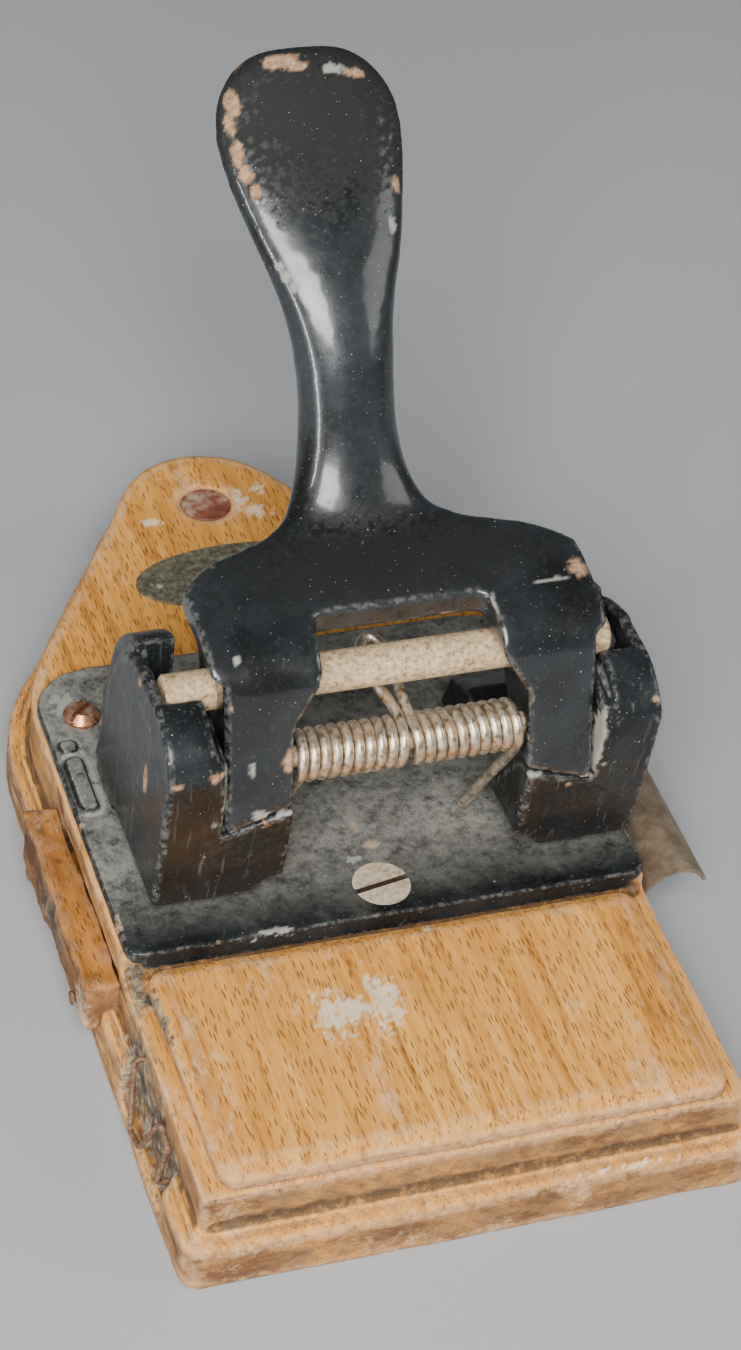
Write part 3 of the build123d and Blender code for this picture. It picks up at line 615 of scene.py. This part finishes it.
def make_towers():
    paint = japan_black("tower_japan", brown=0.6, scratched=0.35)
    chips = {
        "left": (
            ((-46.3, 18.2, 52.8), (1.2, 1.1, 3.4)), ((-37.2, 5.6, 63.1), (1.5, 1.4, 1.0)),
            ((-46.3, 25.3, 69.5), (1.2, 1.0, 1.0)), ((-44.6, 6.0, 62.5), (1.2, 0.8, 0.7)),
        ),
        "right": (((45, 7.4, 64.7), (0.7, 0.7, 0.7)), ((30.5, 6, 47), (0.6, 0.6, 0.6))),
    }
    for side, sign in (("left", -1), ("right", 1)):
        tower = remeshed(f"tower_{side}", 0.5, "frame")
        weather(tower, rounds=5, waves=7, depth=0.07, seed=5.0, reach=7, relief=0.13)
        patches(tower, "chip", *chips[side])
        patches(
            tower, "wax",
            ((sign * 28, 6.2, 51), (8, 1.5, 0.8)), ((sign * 35.1, 7.5, 57), (0.7, 3, 8)),
            ((sign * 40, 17.7, 65.3), (5, 0.8, 0.8)), rag=0.5,
        )
        patches(tower, "dull", ((sign * 28, 14, 44), (9, 12, 6)), rag=0.8)
        finished(tower, paint)


def make_bed():
    bed = remeshed("bed_plate", 0.5, "frame")
    weather(bed, rounds=4, waves=6, depth=0.08, seed=8.0, reach=6, relief=0.12)
    patches(bed, "chip", ((-1.5, 17.5, 27.5), (1.6, 0.9, 1)), ((-3.2, 22.5, 27.5), (0.6, 1.6, 1)))
    patches(
        bed, "wax", ((-6, 14.5, 27.5), (1.2, 0.8, 1)), ((-26, 0.6, 27.2), (4, 0.5, 1)),
        ((-48, 66, 27.5), (2, 2, 1)), rag=1.3,
    )
    patches(bed, "dull", ((-2, 30, 27.5), (60, 26, 2)), rag=0.6)
    finished(bed, japan_black("bed_japan", dust=0.8))


# --------------------------------------------------------------- wooden parts
def make_base(paint):
    base = remeshed("wood_base", 0.7, "frame")
    weather(base, rounds=3, waves=14, depth=0.25, seed=1.0, reach=7, relief=0.2)
    patches(
        base, "scuff",
        ((4.1, 120.6, 25), (1.4, 2.0, 1)), ((6.4, 116.5, 25), (2.2, 1.6, 1)),
        ((9, 124, 25), (1.0, 1.4, 1)), ((-15.6, 117.3, 25), (1.6, 1.0, 1)),
        ((-53.4, -21.4, 5.5), (0.8, 3, 2)), ((24, -53.6, 10.9), (6, 1, 0.4)), rag=1.2,
    )
    patches(
        base, "soil",
        ((-53.5, -14, 12), (2.5, 7, 8)), ((-53.5, -26, 10), (3, 9, 7)),
        ((-54.5, -33, 9), (2.5, 5, 7)), ((-51, -3, 22), (2, 5, 5)), rag=0.9,
    )
    finished(base, paint)


def make_paper_rest(paint):
    rest = remeshed("paper_rest", 0.6, "frame")
    weather(rest, rounds=4, waves=12, depth=0.2, seed=3.0, reach=7, relief=0.18)
    patches(
        rest, "scuff",
        ((-20.4, -19, 25), (2.4, 4.6, 1)), ((-11.0, -18.5, 25), (2.4, 5.4, 1)),
        ((-15.8, -18.5, 25), (3.4, 2.2, 1)), ((-8.6, -15.2, 25), (1.0, 2.0, 1)),
        ((3, -2.5, 25), (1.4, 0.8, 1)), rag=1.1,
    )
    patches(rest, "soil", ((-49.5, -12, 23), (0.8, 6, 2)), rag=0.8)
    finished(rest, paint)


def make_batten():
    batten = remeshed("tray_batten", 0.6, "frame")
    weather(batten, rounds=4, waves=7, depth=0.6, seed=4.0, reach=7, relief=0.3)
    patches(batten, "scuff", ((-60, 4, 12), (1.5, 3, 4)), rag=0.9)
    patches(batten, "soil", ((-59.5, 24, 14), (2, 9, 4)), ((-58, 44, 17), (2, 3, 3)), rag=0.9)
    finished(batten, old_oak("batten_oak", BATTEN_TINT, dirt=0.4))


def make_wood():
    paint = old_oak("base_oak")
    make_base(paint)
    make_paper_rest(paint)
    make_batten()


# --------------------------------------------------------------- metal pieces
def make_spring():
    spring = linked("torsion_spring_wire", nodes["torsion_spring"].data.copy())
    finished(spring, spring_steel("spring_wire"))
    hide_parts("torsion_spring")
    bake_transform(spring)


def make_lift_springs():
    steel = spring_steel("lift_wire")
    for side in ("left", "right"):
        node = f"lift_spring_{side}"
        spring = linked(f"{node}_wire", nodes[node].data.copy())
        finished(spring, steel)
        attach(spring, "frame")
        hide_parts(node)
        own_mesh(spring)


def dress_the_rest():
    """Materials for the pieces that keep their CAD meshes."""
    looks = {
        ("drive_rod", "pivot_axle"): tarnished(
            "rod_rust", (0.11, 0.062, 0.030), (0.54, 0.385, 0.215), (0.70, 0.545, 0.36),
            metallic=0.1, rough=(0.6, 0.8),
        ),
        ("punch_left", "punch_right", "die_left", "die_right", "tower_bolts"): tarnished(
            "punch_steel", (0.12, 0.11, 0.10), (0.35, 0.34, 0.32), (0.5, 0.49, 0.47),
            metallic=0.9, rough=(0.3, 0.5),
        ),
        # the front screw's slot is painted dark below 27.35 mm, as painted shade
        ("bed_screw_front",): tarnished(
            "front_screw", (0.26, 0.18, 0.11), (0.56, 0.45, 0.31), (0.68, 0.58, 0.43),
            metallic=0.25, rough=(0.45, 0.7), slot=27.35,
        ),
        ("bed_screws_rear",): tarnished(
            "copper_screw", (0.16, 0.055, 0.025), (0.48, 0.22, 0.12), (0.70, 0.50, 0.33),
            metallic=0.8, rough=(0.2, 0.45), grain=0.5,
        ),
        ("badge_plate", "badge_nails"): tarnished(
            "badge_brass", (0.06, 0.055, 0.035), (0.17, 0.155, 0.10), (0.30, 0.29, 0.20),
            metallic=0.5, rough=(0.4, 0.65), grain=0.8,
        ),
        ("chip_tray",): tarnished(
            "tray_tin", (0.13, 0.088, 0.052), (0.23, 0.17, 0.112), (0.31, 0.24, 0.165),
            metallic=0.4, rough=(0.38, 0.6), grain=0.22,
        ),
        ("side_wire", "batten_nails"): tarnished(
            "rusty_wire", (0.06, 0.03, 0.018), (0.20, 0.10, 0.05), (0.34, 0.23, 0.15),
            metallic=0.3, rough=(0.5, 0.8), grain=1.2,
        ),
        ("tongue_plug",): tarnished(
            "plug_wax", (0.13, 0.025, 0.012), (0.22, 0.07, 0.04), (0.42, 0.33, 0.24),
            metallic=0.0, rough=(0.6, 0.8), grain=0.22,
        ),
    }
    for names, material in looks.items():
        for name in names:
            dress(nodes[name], material)


# ------------------------------------------------------------ floor and light
def make_floor():
    bpy.ops.mesh.primitive_plane_add(size=FLOOR_WIDTH, location=(0, 0, cad_bounds[0][2]))
    floor = bpy.context.object
    floor.name = "floor"
    finished(floor, floor_finish())


def make_camera():
    data = bpy.data.cameras.new("camera")
    data.lens = FOCAL_LENGTH
    camera = linked("camera", data)
    axes = Matrix((CAMERA_RIGHT, -Vector(CAMERA_DOWN), -Vector(CAMERA_FORWARD)))
    camera.matrix_world = Matrix.Translation(CAMERA_PLACE) @ axes.transposed().to_4x4()
    bpy.context.scene.camera = camera


def softbox(name, place, target, size, power, up=(0, 0, 1)):
    """Area light; its second side lies along up as nearly as it can."""
    data = bpy.data.lights.new(name, "AREA")
    data.shape = "RECTANGLE"
    data.size, data.size_y = size
    data.energy = power
    back = (Vector(place) - Vector(target)).normalized()
    across = Vector(up).cross(back).normalized()
    axes = Matrix((across, back.cross(across), back))
    linked(name, data).matrix_world = Matrix.Translation(place) @ axes.transposed().to_4x4()


def make_lights():
    softbox("key", (-0.34, -0.74, 0.80), PUNCH_MIDDLE, size=(0.55, 0.55), power=22.0)
    # a narrow light along the neck, for the streak on its left side
    softbox(
        "strip", (-0.69, -0.42, 0.27), NECK_MIDDLE, size=(0.014, 0.70), power=4.4,
        up=(-0.08, 0.43, 0.90),
    )
    softbox("fill", (0.75, -0.35, 0.55), PUNCH_MIDDLE, size=(0.5, 0.5), power=2.4)
    world = bpy.data.worlds.new("studio")
    world.use_nodes = True
    background = world.node_tree.nodes["Background"]
    background.inputs["Color"].default_value = WORLD_COLOR
    background.inputs["Strength"].default_value = WORLD_STRENGTH
    bpy.context.scene.world = world


make_lever()
make_towers()
make_bed()
make_wood()
make_spring()
make_lift_springs()
dress_the_rest()
make_floor()
make_camera()
make_lights()
